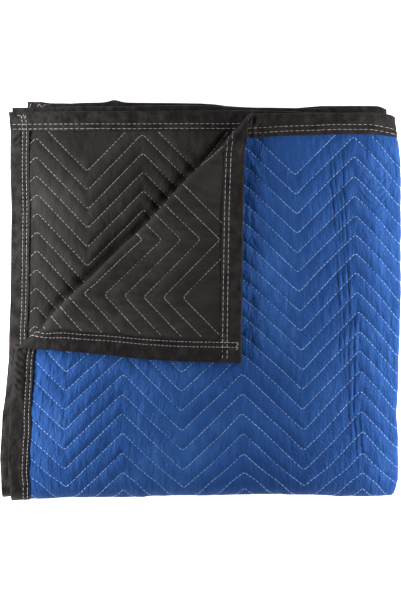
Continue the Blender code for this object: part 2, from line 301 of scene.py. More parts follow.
OPEN_CLOTH = (0.022, 0.01)  # start and length, in from the edges, of where its relief sets in
PULL_LENGTHS = {1: (0.017, 0.011), -1: (0.008, 0.006)}  # large and small pulls on each side of the cloth
PULL_WIDTHS = (0.0065, 0.0042)
PULL_SHARES = {1: 1, -1: 0.5}
PULL_HEIGHTS = (0.00018, 0.00055)  # everywhere, and how much more in patches
LUMP = (0.0006, 0.02)  # height and size
SMALL_LUMPS = {1: 0.00025, -1: 0.0005}
SMALL_LUMP_SIZE = (0.0105, 0.0125)

# Binding tape. Each side has how far it covers the cloth, as a table along the edge, how far its inner row
# of stitches lies from the tape's inner edge, and how far apart its two rows are.
TAPE_THICK = 0.001
TAPE_CLEAR = 0.0004
TAPE_RISE = 0.0125
TAPE_OUTER = EDGE_HALF + TAPE_CLEAR + TAPE_THICK
TAPE_INNER = EDGE_HALF + 0.0001  # w of the edge where the tape ends on the cloth
TAPE_LIP = (-0.004, -0.0002, 0.0, -0.0005)  # distances past the cover of the points round that edge
PLAIN_COVER = ((0.0, 0.0265),)
SIDE_A_COVER = (
    (0.0, 0.0265), (0.26, 0.0268), (0.3, 0.025), (0.36, 0.0258), (0.4, 0.0272), (0.45, 0.0249),
    (0.49, 0.0235),
)
END_1_COVER = (
    (0.24, 0.0286), (0.3, 0.0306), (0.345, 0.0282), (0.42, 0.026), (0.46, 0.0265), (0.485, 0.0274),
)
EDGES = {
    # (edge, 1 for the face side and -1 for the back side): (cover, inner row, apart)
    ("side_a", 1): (SIDE_A_COVER, 0.0031, 0.0055),
    ("side_a", -1): (
        ((0.0, 0.0275), (0.16, 0.027), (0.21, 0.0257), (0.26, 0.0257), (0.3, 0.0265)), 0.0034, 0.006
    ),
    ("side_b", 1): (PLAIN_COVER, 0.0036, 0.0056),
    ("side_b", -1): (((0.0, 0.024), (0.12, 0.0231), (0.3, 0.0226)), 0.004, 0.005),
    ("end_1", 1): (END_1_COVER, 0.006, 0.0063),
    ("end_1", -1): (((0.0, 0.027), (0.3, 0.0265), (0.75, 0.0248), (0.98, 0.024)), 0.003, 0.006),
    ("end_2", 1): (PLAIN_COVER, 0.0036, 0.006),
    ("end_2", -1): (PLAIN_COVER, 0.0036, 0.006),
}
SIDE_EDGES = ("side_a", "side_b")
ROWS_BEND = (
    # (u, how much nearer to the inner edge of end tape 1 its rows run towards the right fold)
    (0.458, 0.0), (0.483, 0.0016), (0.492, 0.0025),
)
SIDE_TUCK = 0.0235  # where the side tapes pass under the end tapes, and over what distance
SIDE_TUCK_OVER = 0.003
SIDE_TUCK_PRESS = 0.35
SIDE_TAPE_START = 0.0155  # the side tapes start and stop this far from the ends
SIDE_TAPE_LINES = 940
END_TAPE_LINES = 245  # on each side of the right fold, which has FOLD_LINES
FOLD_LINES = 12
TAPE_CRUMPLES = ((0.0006, 0.0065, 0.014), (0.0008, 0.017, 0.02))  # (height, size along, size across)
ROW_DENT = (0.00045, 0.0012)  # depth and reach of the dent under each stitched row
ROW_CALM = (0.9, 0.0028)  # share and reach of how far a row holds down the crumples
ROW_PUFF = (0.00025, 0.0018)  # height and reach of the tape between its rows
DEEPEST_DENT = -0.0007
GATHER_HEIGHT = 0.0046
GATHER_LENGTH = 0.0095
GATHER_LEVEL = 0.1
GATHER_CALM = (0.9, 0.0026)
GATHERS = (
    # (edge, side, middle along the edge, reach, slant)
    ("side_a", 1, 0.326, 0.03, -0.6),
    ("side_b", -1, 0.03, 0.01, 0.8),
    ("side_b", -1, 0.315, 0.02, -0.4),
    ("end_1", 1, 0.295, 0.02, 0.2),
)

# Thread.
QUILT_PITCH = 0.0053
QUILT_STITCH = 0.0046
QUILT_THREAD = 0.00027
# pitch and stitch of the tapes' rows, and how far from the corners they start
SIDE_ROWS = (0.0051, 0.0037, 0.0022)
END_ROWS = (0.0067, 0.0051, 0.0015)
TAPE_THREAD = 0.00029
STITCH_JITTER = 0.06  # in shares of the pitch
STITCH_START = 0.3
STITCH_LIFT = 0.00024  # the thread's middle above the cloth
STITCH_SUNK = (0.00006, 0.01)  # height and length of its unevenness
NORMAL_STEP = 0.0006
TAPE_STITCH_SUNK = 0.00022
CLEAR_OF_TAPE = 0.0014
QUILT_FROM = 0.024  # the quilting starts this far in from the edges
TAPE_ROW_STEP = 0.001
CROSSED = 0.0275  # the side rows run over the end tapes up to here
LOOSE_LIFT = 0.0004
THREAD_FLOOR_GAP = 0.0001
BEAD_SIDES = 5
BEAD = (
    # (share of the stitch's length, width, and lift above its line, both in shares of the radius)
    (0.0, 0.25, -0.9), (0.18, 0.85, 0.35), (0.5, 1.0, 0.75), (0.82, 0.85, 0.35), (1.0, 0.25, -0.9),
)
LOOSE_ENDS = (
    # (u, v) of the points of each thread end left at a corner, on the back side
    ((0.0186, 0.004), (0.017, 0.0035), (0.0158, 0.0052), (0.015, 0.0068)),
    ((0.0247, 0.006), (0.024, 0.0042), (0.0222, 0.0034), (0.0205, 0.0046), (0.0196, 0.0062)),
    ((WIDTH - 0.015, 0.0075), (WIDTH - 0.014, 0.0045), (WIDTH - 0.012, 0.0032), (WIDTH - 0.0092, 0.0042)),
    ((WIDTH - 0.0186, 0.008), (WIDTH - 0.018, 0.005), (WIDTH - 0.0172, 0.0022)),
    ((0.0016, LENGTH - 0.0062), (0.0024, LENGTH - 0.0038), (0.0036, LENGTH - 0.0012)),
    ((0.012, LENGTH - 0.0062), (0.015, LENGTH - 0.0014), (0.018, LENGTH - 0.006), (0.0238, LENGTH - 0.0014)),
)

# Where stitches can be seen. Rows deep in the pack are left out.
BACK_SHOWN_FROM = -0.03  # measured past the line where the corner rolls over
COVERED_X = 0.035  # the turned corner covers the top ply up to here
COVERED_Y = -0.045
FOLD_SHOWN = 0.004

# Looks. Each cloth has a dark, a middle and a light tone, and each tape and thread a dark and a light one.
BLUE = ((0.0065, 0.043, 0.176), (0.011, 0.058, 0.22), (0.02, 0.083, 0.28))
BLACK = ((0.011, 0.0092, 0.0087), (0.0195, 0.0168, 0.016), (0.034, 0.03, 0.0285))
# The tapes' dark tone lies in the hollows of their crumples, as painted shade.
TAPE = ((0.0042, 0.0033, 0.003), (0.0225, 0.0188, 0.0178))
# The same binding tape painted darker, as painted shade on the tape of side edge A.
SHADED_TAPE = ((0.0024, 0.0018, 0.0016), (0.0122, 0.01, 0.0094))
WHITE_THREAD = ((0.34, 0.32, 0.31), (0.5, 0.48, 0.46))
PALE_THREAD = ((0.3, 0.5, 0.9), (0.42, 0.66, 1.0))
CLOTH_WEAVE = 0.0009
TAPE_WEAVE = 0.0007
WAVE_SCALE = 0.314  # of Blender's wave texture, for a band of one unit

# Floor, lamps and camera.
FLOOR_SIZE = 8
FLOOR_DROP = 0.0002
WORLD_STRENGTH = 0.19
LAMPS = (
    # (name, place, size, watts)
    ("front softbox", (0.0, -0.5, 0.035), (0.7, 0.04), 0.25),
    ("left softbox", (-0.43, 0.03, 0.18), (0.9, 0.12), 5.7),
    ("right softbox", (0.44, 0.0, 0.17), (0.9, 0.12), 4.3),
)
CAMERA_HEIGHT = 3.0
PACK_TOP = 0.046
VIEW_HEIGHT = 0.7693  # how much the picture shows, at the height of the pack's top


def smooth(share):
    share = np.clip(share, 0.0, 1.0)
    return share * share * (3 - 2 * share)


def ridge(distance, half):
    return np.exp(-((distance / half) ** 2))


def swell(size, distance):
    """A ridge of this height and reach."""
    height, half = size
    return height * ridge(distance, half)


def table(rows, share):
    return np.interp(share, [row[0] for row in rows], [row[1] for row in rows])


def rounded(rows, share, over):
    """The same, with its corners rounded over this distance on each side."""
    return np.mean([table(rows, share + shift) for shift in (-over, 0, over)], axis=0)


def rise(value, start, length):
    """0 before start, and 1 from start + length on."""
    return smooth((value - start) / length)


def hump(x, y, centre, reach):
    return np.exp(-(((x - centre[0]) / reach[0]) ** 2) - ((y - centre[1]) / reach[1]) ** 2)


class Noise:
    """Smooth value noise on a plane, from a seeded grid. Numbers added to x or y pick a place in it."""

    def __init__(self, seed, size=64):
        self.values = np.random.RandomState(seed).uniform(-1, 1, (size, size))
        self.size = size

    def at(self, x, y):
        x, y = np.broadcast_arrays(np.asarray(x, float), np.asarray(y, float))
        column, row = np.floor(x).astype(int), np.floor(y).astype(int)
        s, t = smooth(x - column), smooth(y - row)
        n = self.size
        corner = self.values
        low = corner[row % n, column % n] * (1 - s) + corner[row % n, (column + 1) % n] * s
        top = corner[(row + 1) % n, column % n] * (1 - s) + corner[(row + 1) % n, (column + 1) % n] * s
        return low * (1 - t) + top * t


EDGE_NOISE = Noise(3)
PULL_NOISE = Noise(5, 256)
SOFT_NOISE = Noise(8)
LUMP_NOISE = Noise(13, 128)
TAPE_NOISE = Noise(21, 256)


def waver(size, at, line):
    """Small unevenness of an edge. Each edge takes its own line of the noise."""
    height, length = size
    return height * EDGE_NOISE.at(at / length, line)


def run_at(v):
    """Which run of RUNS each v is in, and its share of that run."""
    index = np.clip(np.searchsorted(STARTS, v, side="right") - 1, 0, len(RUNS) - 1)
    return index, (v - STARTS[index]) / RUNS[index]


def lines_at(v):
    """Side edge A, side edge B and right fold at v."""
    index, share = run_at(v)
    first, last = np.array(LINES)[(index + 1) // 2], np.array(LINES)[index // 2 + 1]
    eased = rise(np.where(index == 4, share, 1 - share), *SWING)
    eased = np.where(index == 4, eased, 1 - eased)
    eased = np.where((index == 0) | (index % 2 == 1), share, eased)
    side_a, side_b, right = np.moveaxis(first + (last - first) * eased[..., None], -1, 0)
    top = index == 0
    side_a = np.where(top, table(TOP_EDGE, share), side_a)
    side_b = np.where(top, table(SECOND_EDGE, share), side_b)
    right = right + np.where(index % 2 == 0, RIGHT_BULGE * (1 - np.abs(2 * share - 1) ** 5), 0)
    front_ease, rear_ease = RIGHT_BACK_EASE
    back = RIGHT_BACK * smooth(share / front_ease) * smooth((1 - share) / rear_ease)
    right = np.where(top, table(RIGHT_EDGE, share), right - np.where(index == 2, back, 0))
    return (
        side_a + waver(SIDE_WAVER, v, 0.5),
        side_b + waver(SIDE_WAVER, v, 7.5),
        right + waver(RIGHT_WAVER, v, 15.5),
    )


def front_axis(u):
    """Y of the front fold's axis, which lies further back away from the side edges."""
    return rounded(FRONT_LINE, np.minimum(u, WIDTH - u), FRONT_ROUNDING)


def across(u, v, w):
    """X on the folded width, and how far w lies from the middle between its two plies."""
    side_a, side_b, right = lines_at(v)
    turn_x = right - STACK_HALF
    offset = FOLD_RADIUS + w
    angle = np.clip((u - LEG) / FOLD_RADIUS, 0, np.pi)
    on_a = side_a + (turn_x - side_a) * u / LEG
    on_b = side_b + (turn_x - side_b) * (WIDTH - u) / LEG
    x = turn_x + offset * np.sin(angle)
    x = np.where(u <= LEG, on_a, np.where(u >= LEG + RIGHT_ARC, on_b, x))
    index, share = run_at(v)
    drawn = np.where(index == 1, np.sin(np.pi * share), 0)
    drawn = drawn * rise(np.minimum(u, WIDTH - u), *FRONT_DRAW_FROM)
    return x - FRONT_DRAW * drawn, offset * np.cos(angle)


def end_lines_at(u, v):
    """Y of end 1, for the cloth near v, and of end 2."""
    rounding = swell(END_1_ROUND, u - RIGHT_MIDDLE) * (1 - smooth(v / END_1_ROUND_OVER))
    end_1 = table(END_1_LINE, u / WIDTH) + waver(END_1_WAVER, u, 23.5)
    end_2 = table(END_2_LINE, u / WIDTH) + waver(END_2_WAVER, u, 31.5)
    end_1 = end_1 - swell(END_1_DIP, u - LEG) - rounding
    return end_1, end_2 + swell(END_2_HUMP, u - END_2_HUMP_AT) - swell(END_2_DIP, u - RIGHT_MIDDLE)


def along(u, v, offset):
    """Y and Z of the folded length, offset from the middle of each pass."""
    index, share = run_at(v)
    angle = np.pi * share
    sine, cosine = np.sin(angle), np.cos(angle)
    end_1, end_2 = end_lines_at(u, v)
    front = front_axis(u)
    outer = FRONT_RADIUS + offset
    rear = INNER_RADIUS + offset
    inner = INNER_RADIUS - offset
    ys = (
        end_1 + (front - end_1) * share,
        front - outer * sine,
        front + (REAR_CENTRE_Y - front) * share,
        REAR_CENTRE_Y + rear * sine,
        REAR_CENTRE_Y + (INNER_CENTRE_Y - REAR_CENTRE_Y) * share,
        INNER_CENTRE_Y - inner * sine,
        INNER_CENTRE_Y + (end_2 - INNER_CENTRE_Y) * share,
    )
    zs = (
        TOP_PASS_Z + offset,
        MIDDLE_Z + outer * cosine,
        LOW_PASS_Z - offset,
        LOW_PASS_Z + INNER_RADIUS - rear * cosine,
        LOW_PASS_Z + PASS_PITCH + offset,
        MIDDLE_Z - inner * cosine,
        LOW_PASS_Z + 2 * PASS_PITCH - offset,
    )
    masks = [index == number for number in range(len(RUNS))]
    return np.select(masks, ys), np.select(masks, zs)


def past_turn(x, y):
    """How far a point of the top ply lies past the line where the corner rolls over."""
    bow = TURN_BOW * (np.abs(x + y) / TURN_REACH) ** 4
    plain = y - x - TURN_LINE - bow
    bulge = rounded(TURN_EDGE, x + y, TURN_EDGE_ROUNDING)
    return (plain - bulge * ridge(plain / math.sqrt(2), TURN_EDGE_REACH)) / math.sqrt(2)


def turn_corner(x, y, z):
    past = past_turn(x, y)
    middle = TOP_PASS_Z + FOLD_RADIUS
    lift = z - middle
    arc = np.pi * TURN_RADIUS
    angle = np.clip(past / TURN_RADIUS, 0, np.pi)
    rolling = past < arc
    reach = np.where(rolling, (TURN_RADIUS - lift) * np.sin(angle), arc - past)
    settled = smooth((past - arc) / TURN_SETTLE)
    high = middle + TURN_RADIUS - (TURN_RADIUS - lift) * np.cos(angle)
    laid = middle + 2 * TURN_RADIUS - lift - (2 * TURN_RADIUS - TURN_REST) * settled
    shift = (reach - past) / math.sqrt(2)
    turned = past > 0
    return (
        np.where(turned, x - shift, x),
        np.where(turned, y + shift, y),
        np.where(turned, np.where(rolling, high, laid), z),
    )


def sunk(sink, place):
    share, start, length = sink
    return share * rise(place, start, length)


def sink(x, y, z, top, second):
    """Z with the stack lower near its outer edges and uneven. The second ply dips by the roll."""
    share = (1 - sunk(RIGHT_SINK, x)) * (1 - sunk(END_SINK, y))
    share = share * (1 - sunk(FRONT_SINK, -y) * rise(x, *FRONT_SINK_ALONG))
    share = share * (1 - sunk(LEFT_SINK, -x) * rise(y, *LEFT_SINK_ALONG))
    fold = past_turn(x, y)
    beyond = fold - TRENCH_AT
    reach = np.where(second, np.where(beyond > 0, TRENCH_HALF, 1.0), TRENCH_SPREAD)
    ends = smooth(np.minimum(x - ROLL_LEFT_X, ROLL_REAR_Y - y) / TRENCH_EASE)
    trench = TRENCH_DEPTH * np.where(top, 0, ridge(beyond, reach)) * ends
    share = share * (1 - trench + swell(ROLL_PUFF, fold - ROLL_PUFF_AT))
    uneven = sum(
        amount * SOFT_NOISE.at(x / size + in_x, y / size + in_y) for amount, size, in_x, in_y in UNEVEN
    )
    for centre, reach, amount in HUMPS:
        uneven = uneven + amount * hump(x, y, centre, reach)
    return np.maximum(z * share * (1 + uneven), FLOOR_GAP)


def place(u, v, w):
    """Points of the flat blanket, folded, as an array of (x, y, z)."""
    u, v, w = np.broadcast_arrays(*(np.asarray(value, float) for value in (u, v, w)))
    x, offset = across(u, v, w)
    y, z = along(u, v, offset)
    top_ply = (u <= LEG) & (v <= PASS_1)
    turned = turn_corner(x, y, z)
    x, y, z = (np.where(top_ply, new, old) for new, old in zip(turned, (x, y, z)))
    second = (v <= PASS_1) & (u > LEG) & (w < 0)
    return np.stack([x, y, sink(x, y, z, top_ply, second)], -1)


def corner_rows(u, v):
    """How much further along the rows lie on the turned corner and on the second ply."""
    corner = (CORNER_SHIFT + CORNER_SPREAD * v) * (1 - rise(v, *CORNER_FADE_V))
    start, stop = SECOND_SPREAD_V
    second = SECOND_SPREAD * (np.minimum(v, stop) - start) * rise(u, *SECOND_SPREAD_U)
    return corner * (1 - rise(u, *CORNER_FADE_U)) - second


def low_rows(u, v):
    """How much nearer to end 1 the last rows before the front fold lie."""
    everywhere, more = LOW_ROWS_LIFT
    low = rise(v, *LOW_ROWS) * (everywhere + more * rise(u, *LOW_ROWS_U))
    return (low + LAST_ROWS_LIFT * rise(v, *LAST_ROWS)) * (1 - rise(v, *FOLD_FADE))


def turn_shift(u, v):
    """How far across the turns shift."""
    shift = 0
    for column, place_u in enumerate(SHIFT_PLACES, 1):
        share = table([(other, float(other == place_u)) for other in SHIFT_PLACES], u)
        shift = shift + table([(row[0], row[column]) for row in SHIFTS], v) * share
    return shift * (1 - rise(u, *SHIFT_FADE))


def zigzag(u, v):
    """v of row 12 at u, where the rows turn as they do near v."""
    stretched = corner_rows(u, v) - low_rows(u, v)
    for centre, reach, amount in ROW_DENTS:
        stretched = stretched - amount * hump(u, v, centre, reach)
    stretched = stretched + table(FOLD_BEND, v) * ridge(u - FOLD_BEND_AT, FOLD_BEND_REACH)
    before_fold = rise(v, *BEFORE_FOLD)
    stretched = stretched + table(STRETCHED_TURNS, u) * before_fold * (1 - rise(v, *FOLD_FADE))
    stretched = stretched + table(LAST_TURN, u) * rise(v, *LAST_TURN_FROM) * (1 - before_fold)
    turned = u - table(DRIFT, u) * (DRIFT_FROM_V - v) - turn_shift(u, v)
    before, at, after = (table(TURNS, turned + shift) for shift in (-TURN_ROUNDING, 0, TURN_ROUNDING))
    return (before + 2 * at + after) / 4 + stretched


def row_distance(number, u):
    """Distance of a row from row 12 at u."""
    numbers, on_a, on_b = np.array(ROWS).T
    first, second = np.interp(number, numbers, on_a), np.interp(number, numbers, on_b)
    return first + (second - first) * rise(u, *SIDE_CHANGE)


def row_at(u, v):
    """Row number at each point, whole on the stitched rows."""
    distance = v - zigzag(u, v)
    knots = [row_distance(number, u) for number, _, _ in ROWS]
    row = np.zeros(np.broadcast(u, v).shape)
    for number in range(len(ROWS) - 1):
        low, high = knots[number], knots[number + 1]
        first, last = ROWS[number][0], ROWS[number + 1][0]
        here = first + (last - first) * (distance - low) / (high - low)
        row = np.where(distance >= low, here, row)
    return row


def row_line(number, u):
    """v of one row at each u."""
    distance = row_distance(number, u)
    v = zigzag(u, DRIFT_FROM_V) + distance
    for _ in range(8):
        v = zigzag(u, v) + distance
    return v


def edge_distance(u, v):
    return np.minimum(np.minimum(u, WIDTH - u), np.minimum(v, LENGTH - v))


def puff(u, v):
    """0 on the stitched rows and 1 midway between them."""
    row = row_at(u, v)
    between = 1 - np.abs(2 * (row - np.floor(row)) - 1) ** QUILT_ROUNDNESS
    first = np.clip(FIRST_ROW - row, 0, 0.5) * 2
    return np.where(row < FIRST_ROW, 1 - (1 - first) ** QUILT_ROUNDNESS, between)


def crumples(u, v):
    """Places where the face cloth is pulled into more wrinkles."""
    across_size, along_size = CRUMPLE_SIZE
    found = 0
    for number, (centre, reach, slant, height) in enumerate(CRUMPLED):
        wrinkles = PULL_NOISE.at((u + slant * v) / across_size + 31 * number, v / along_size + 7 * number)
        found = found + height * wrinkles * hump(u, v, centre, reach)
    return found


def creases(u, v):
    """Pressed creases and small wrinkles of the face cloth."""
    found = 0
    wander, run = CREASE_WANDER
    for number, (first, last, start, stop, depth) in enumerate(CREASES):
        middle = first + (last - first) * (v - CREASE_V[0]) / (CREASE_V[1] - CREASE_V[0])
        middle = middle + wander * SOFT_NOISE.at(u * 0 + 3.5 * number, v / run)
        fade = smooth((v - start) / CREASE_FADE) * smooth((stop - v) / CREASE_FADE)
        fade = fade * (0.8 + 0.4 * SOFT_NOISE.at(u * 0 + 5.5 * number + 1, v / 0.045))
        lip = swell(CREASE_LIP, u - middle - CREASE_LIP_AT)
        found = found + depth * fade * (lip - ridge(u - middle, CREASE_HALF))
    wander, run = SIDE_CREASE_WANDER
    start, stop = SIDE_CREASE_V
    fade = smooth((v - start) / 0.01) * smooth((stop - v) / CREASE_FADE)
    middle = SIDE_CREASE_U + wander * SOFT_NOISE.at(u * 0 + 2.5, v / run)
    found = found - fade * swell(SIDE_CREASE, u - middle)
    centre, reach, height = RIPPLES
    curve = v + RIPPLE_BOW * (u - centre[0]) ** 2 + 0.002 * SOFT_NOISE.at(u / 0.02, v / 0.03)
    return found + height * hump(u, v, centre, reach) * np.sin(2 * np.pi * curve / RIPPLE_LENGTH)


def tautness(u, v):
    """How far the quilting is pulled flat where the cloth folds."""
    x, offset = across(u, v, 0 * u)
    y, _ = along(u, v, offset)
    corner = past_turn(x, y) - math.pi * TURN_RADIUS / 2
    corner = swell(CORNER_TAUT, corner) * (u <= LEG) * (v <= PASS_1)
    front = swell(FRONT_TAUT, v - PASS_1 - FRONT_ARC / 2)
    return np.maximum(corner, np.maximum(swell(RIGHT_TAUT, u - RIGHT_MIDDLE), front))


def pulls(u, v, side, raised):
    """Small pulls of the cloth along its length, stronger in patches."""
    wide, narrow = PULL_WIDTHS
    long, short = PULL_LENGTHS[side]
    found = PULL_NOISE.at(u / wide + 40 * (side < 0), v / long)
    found = found + 0.6 * PULL_NOISE.at(u / narrow + 11, v / short + 5)
    patchy = np.maximum(0, SOFT_NOISE.at(u / 0.055 + 3, v / 0.07 + 3) + 0.15)
    everywhere, more = PULL_HEIGHTS
    return found * (everywhere + more * patchy) * (0.2 + 0.8 * raised) * PULL_SHARES[side]


def lumps(u, v, side, raised):
    """The batting's unevenness in the puffed channels."""
    height, size = LUMP
    across_size, along_size = SMALL_LUMP_SIZE
    found = height * LUMP_NOISE.at(u / size + 5, v / size + 9) * raised
    small = LUMP_NOISE.at(u / across_size + 25, v / along_size + 2)
    return found + SMALL_LUMPS[side] * small * raised


def cloth_offset(u, v, side):
    """How far the quilted surface lies from the middle of its ply."""
    edge = edge_distance(u, v)
    half = EDGE_HALF + (PLY_HALF + CREST - EDGE_HALF) * rise(edge, PRESSED, TAPE_RISE)
    taut = tautness(u, v)
    raised = puff(u, v)
    raised = raised + (TAUT_LEVEL - raised) * taut
    relief = (pulls(u, v, side, raised) + lumps(u, v, side, raised)) * (1 - TAUT_RELIEF * taut)
    if side > 0:
        relief = relief + (creases(u, v) + crumples(u, v)) * (0.25 + 0.75 * raised)
    return side * (GROOVE_HALF + (half - GROOVE_HALF) * raised + relief * rise(edge, *OPEN_CLOTH))


def grid_lines(stretches, last):
    """Lines from each (start, pitch) to the start of the next one, and the last line."""
    lines = []
    for (start, pitch), (stop, _) in zip(stretches, stretches[1:] + ((last, 0),)):
        count = max(1, round((stop - start) / pitch))
        lines += list(start + (stop - start) * np.arange(count) / count)
    return np.array(lines + [last])


def quad_grid(rows, columns, closed=False):
    """The quads between rows of points, and round each row if it is closed."""
    index = np.arange(rows * columns).reshape(rows, columns)
    if closed:
        index = np.concatenate([index, index[:, :1]], 1)
    corners = index[:-1, :-1], index[:-1, 1:], index[1:, 1:], index[1:, :-1]
    return np.stack(corners, -1).reshape(-1, 4)


def smooth_piece(name, points, quads, look):
    mesh = bpy.data.meshes.new(name)
    mesh.from_pydata(points, [], quads, shade_flat=False)
    mesh.materials.append(look)
    piece = bpy.data.objects.new(name, mesh)
    bpy.context.scene.collection.objects.link(piece)
    return piece


def grid_mesh(name, points, flat, flip, look):
    """A sheet of quads through rows of points, with the flat cloth's (u, v) as its UV map."""
    quads = quad_grid(*points.shape[:2])
    if flip:
        quads = quads[:, ::-1]
    piece = smooth_piece(name, points.reshape(-1, 3), quads, look)
    layer = piece.data.uv_layers.new(name="flat")
    layer.data.foreach_set("uv", flat.reshape(-1, 2)[quads.reshape(-1)].reshape(-1).astype(np.float32))
    piece.data.validate()
    return piece


# ---------- materials


class Nodes:
    """A material's node tree, with a short way to set inputs and to add and link nodes."""

    def __init__(self, name, **inputs):
        self.material = bpy.data.materials.new(name)
        self.material.use_nodes = True
        self.tree = self.material.node_tree
        self.shader = self.tree.nodes["Principled BSDF"]
        for key, value in inputs.items():
            self.shader.inputs[key.replace("_", " ")].default_value = value

    def add(self, kind, links=(), **settings):
        """A node with these links to its inputs, and these inputs or properties."""
        node = self.tree.nodes.new(kind)
        for key, value in settings.items():
            if key in node.inputs:
                node.inputs[key].default_value = value
            else:
                setattr(node, key, value)
        for key, source in links:
            self.tree.links.new(source, node.inputs[key])
        return node

    def surface(self, **sources):
        for key, source in sources.items():
            self.tree.links.new(source, self.shader.inputs[key.replace("_", " ")])
        return self.material

    def flat(self, along=1):
        """The flat cloth's coordinates in metres, those along its length times this."""
        pin = self.add("ShaderNodeUVMap", uv_map="flat")
        mapping = self.add("ShaderNodeMapping", [("Vector", pin.outputs["UV"])], Scale=(1, along, 1))
        return mapping.outputs["Vector"]

    def noise(self, vector, scale, detail, roughness=0.55):
        links = [("Vector", vector)]
        node = self.add("ShaderNodeTexNoise", links, Scale=scale, Detail=detail, Roughness=roughness)
        return node.outputs["Fac"]

    def ramp(self, value, stops):
        node = self.add("ShaderNodeValToRGB", [("Fac", value)])
        elements = node.color_ramp.elements
        for number, (position, colour) in enumerate(stops):
            if number == len(elements):
                elements.new(1.0)
            elements[number].position = position
            elements[number].color = (*colour, 1)
        return node.outputs["Color"]

    def multiply(self, factor, first, second):
        """The first colour times the second, as far as the factor says."""
        node = self.add("ShaderNodeMix", data_type="RGBA", blend_type="MULTIPLY", Factor=factor)
        for key, source in (("A", first), ("B", second)):
            socket = next(found for found in node.inputs if found.name == key and found.type == "RGBA")
            self.tree.links.new(source, socket)
        return next(found for found in node.outputs if found.type == "RGBA")

    def math(self, operation, first, second):
        node = self.add("ShaderNodeMath", operation=operation)
        for number, value in enumerate((first, second)):
            if isinstance(value, float):
                node.inputs[number].default_value = value
            else:
                self.tree.links.new(value, node.inputs[number])
        return node.outputs[0]

    def grain(self, colour, fibres, factor):
        """The colour, darker between the fibres."""
        shades = self.ramp(fibres, ((0.25, (0.8, 0.8, 0.8)), (0.75, (1.0, 1.0, 1.0))))
        return self.multiply(factor, colour, shades)

    def weave(self, pitch):
        """Crossed threads of the cloth, as a height from 0 to 1."""
        heights = []
        for direction in ("X", "Y"):
            shape = {"bands_direction": direction, "Scale": WAVE_SCALE / pitch, "Distortion": 0.6}
            wave = self.add("ShaderNodeTexWave", [("Vector", self.flat())], Detail=1.0, **shape)
            heights.append(wave.outputs["Fac"])
        return self.math("MULTIPLY", *heights)

    def bump(self, height, distance, strength, normal=None):
        links = [("Height", height)] + ([] if normal is None else [("Normal", normal)])
        node = self.add("ShaderNodeBump", links, Strength=strength, Distance=distance)
        return node.outputs["Normal"]


def cloth_look(name, tones, roughness, stretch, depth):
    """Quilted cloth: mottled colour, crossed threads, fine pulls along the length."""
    sheen = {"Sheen_Weight": 0.03, "Sheen_Roughness": 0.5}
    made = Nodes(name, Roughness=roughness, Specular_IOR_Level=0.15, **sheen)
    patches = made.noise(made.flat(), 7.0, 2.0)
    streaks = made.noise(made.flat(0.3), 110.0, 4.0, 0.6)
    fibres = made.noise(made.flat(), 900.0, 2.0, 0.7)
    tone = made.math("ADD", made.math("MULTIPLY", patches, 0.6), made.math("MULTIPLY", streaks, 0.4))
    colour = made.ramp(tone, zip((0.36, 0.5, 0.64), tones))
    rough = made.math("ADD", made.math("MULTIPLY", fibres, 0.15), roughness - 0.08)
    creased = made.noise(made.flat(0.5 + 0.5 * stretch), 95.0, 2.0, 0.5)
    creased = made.math("ABSOLUTE", made.math("SUBTRACT", creased, 0.5), 0.0)
    normal = made.bump(made.noise(made.flat(stretch), 150.0, 3.0, 0.6), depth, 1.0)
    normal = made.bump(made.math("MINIMUM", creased, 0.06), 2.5 * depth, 0.9, normal)
    normal = made.bump(made.weave(CLOTH_WEAVE), 0.00012, 0.6, normal)
    return made.surface(Base_Color=made.grain(colour, fibres, 0.8), Roughness=rough, Normal=normal)


def tape_look(name, tones):
    """Binding tape: plain ribbed cloth with a slight shine and soft crumples, its tone painted darker in
    their hollows as shade.
    """
    made = Nodes(name, Roughness=0.7, Specular_IOR_Level=0.15, Sheen_Weight=0.02)
    crumpled = made.noise(made.flat(), 70.0, 3.0)
    fibres = made.noise(made.flat(), 1100.0, 2.0, 0.7)
    # The tone follows the crumples' height: painted shade in their hollows.
    colour = made.ramp(crumpled, zip((0.34, 0.66), tones))
    rough = made.math("ADD", made.math("MULTIPLY", fibres, 0.2), 0.58)
    normal = made.bump(made.weave(TAPE_WEAVE), 0.0001, 0.6, made.bump(crumpled, 0.004, 0.9))
    return made.surface(Base_Color=made.grain(colour, fibres, 0.7), Roughness=rough, Normal=normal)


def thread_look(name, tones):
    """Thread with a fine fuzz."""
    made = Nodes(name, Roughness=0.6, Sheen_Weight=0.2)
    fuzz = made.noise(made.add("ShaderNodeTexCoord").outputs["Object"], 1500.0, 2.0, 0.6)
    colour = made.ramp(fuzz, zip((0.3, 0.7), tones))
    return made.surface(Base_Color=colour, Normal=made.bump(fuzz, 0.0001, 0.5))


# ---------- cloth


# Where the size of a sheet's quads along v changes, from the rear fold on, and that size.
INNER_STRETCHES = ((STARTS[3], 0.003), (STARTS[4], 0.03), (STARTS[5], 0.003), (STARTS[6], 0.03))


def sheet(name, side, stretches_u, stretches_v, look):
    """The face cloth (side is 1) or the back cloth (side is -1), folded."""
    u = grid_lines(stretches_u, WIDTH)[None, :]
    v = grid_lines(stretches_v, LENGTH)[:, None]
    points = place(u, v, cloth_offset(u, v, side))
    flat = np.stack(np.broadcast_arrays(u, v), -1)
    return grid_mesh(name, points, flat, side > 0, look)


def face_sheet(look):
    fine = 0.00195
    creased = (0.404, 0.001), (0.45, fine)
    u = ((0.0, 0.004), (0.023, fine), *creased, (LEG, 0.0015), (LEG + RIGHT_ARC, 0.03))
    v = ((0.0, 0.004), (0.023, fine), (PASS_1, 0.003), (PASS_1 + FRONT_ARC, 0.02))
    return sheet("blue_face_cloth", 1, u, v + INNER_STRETCHES, look)


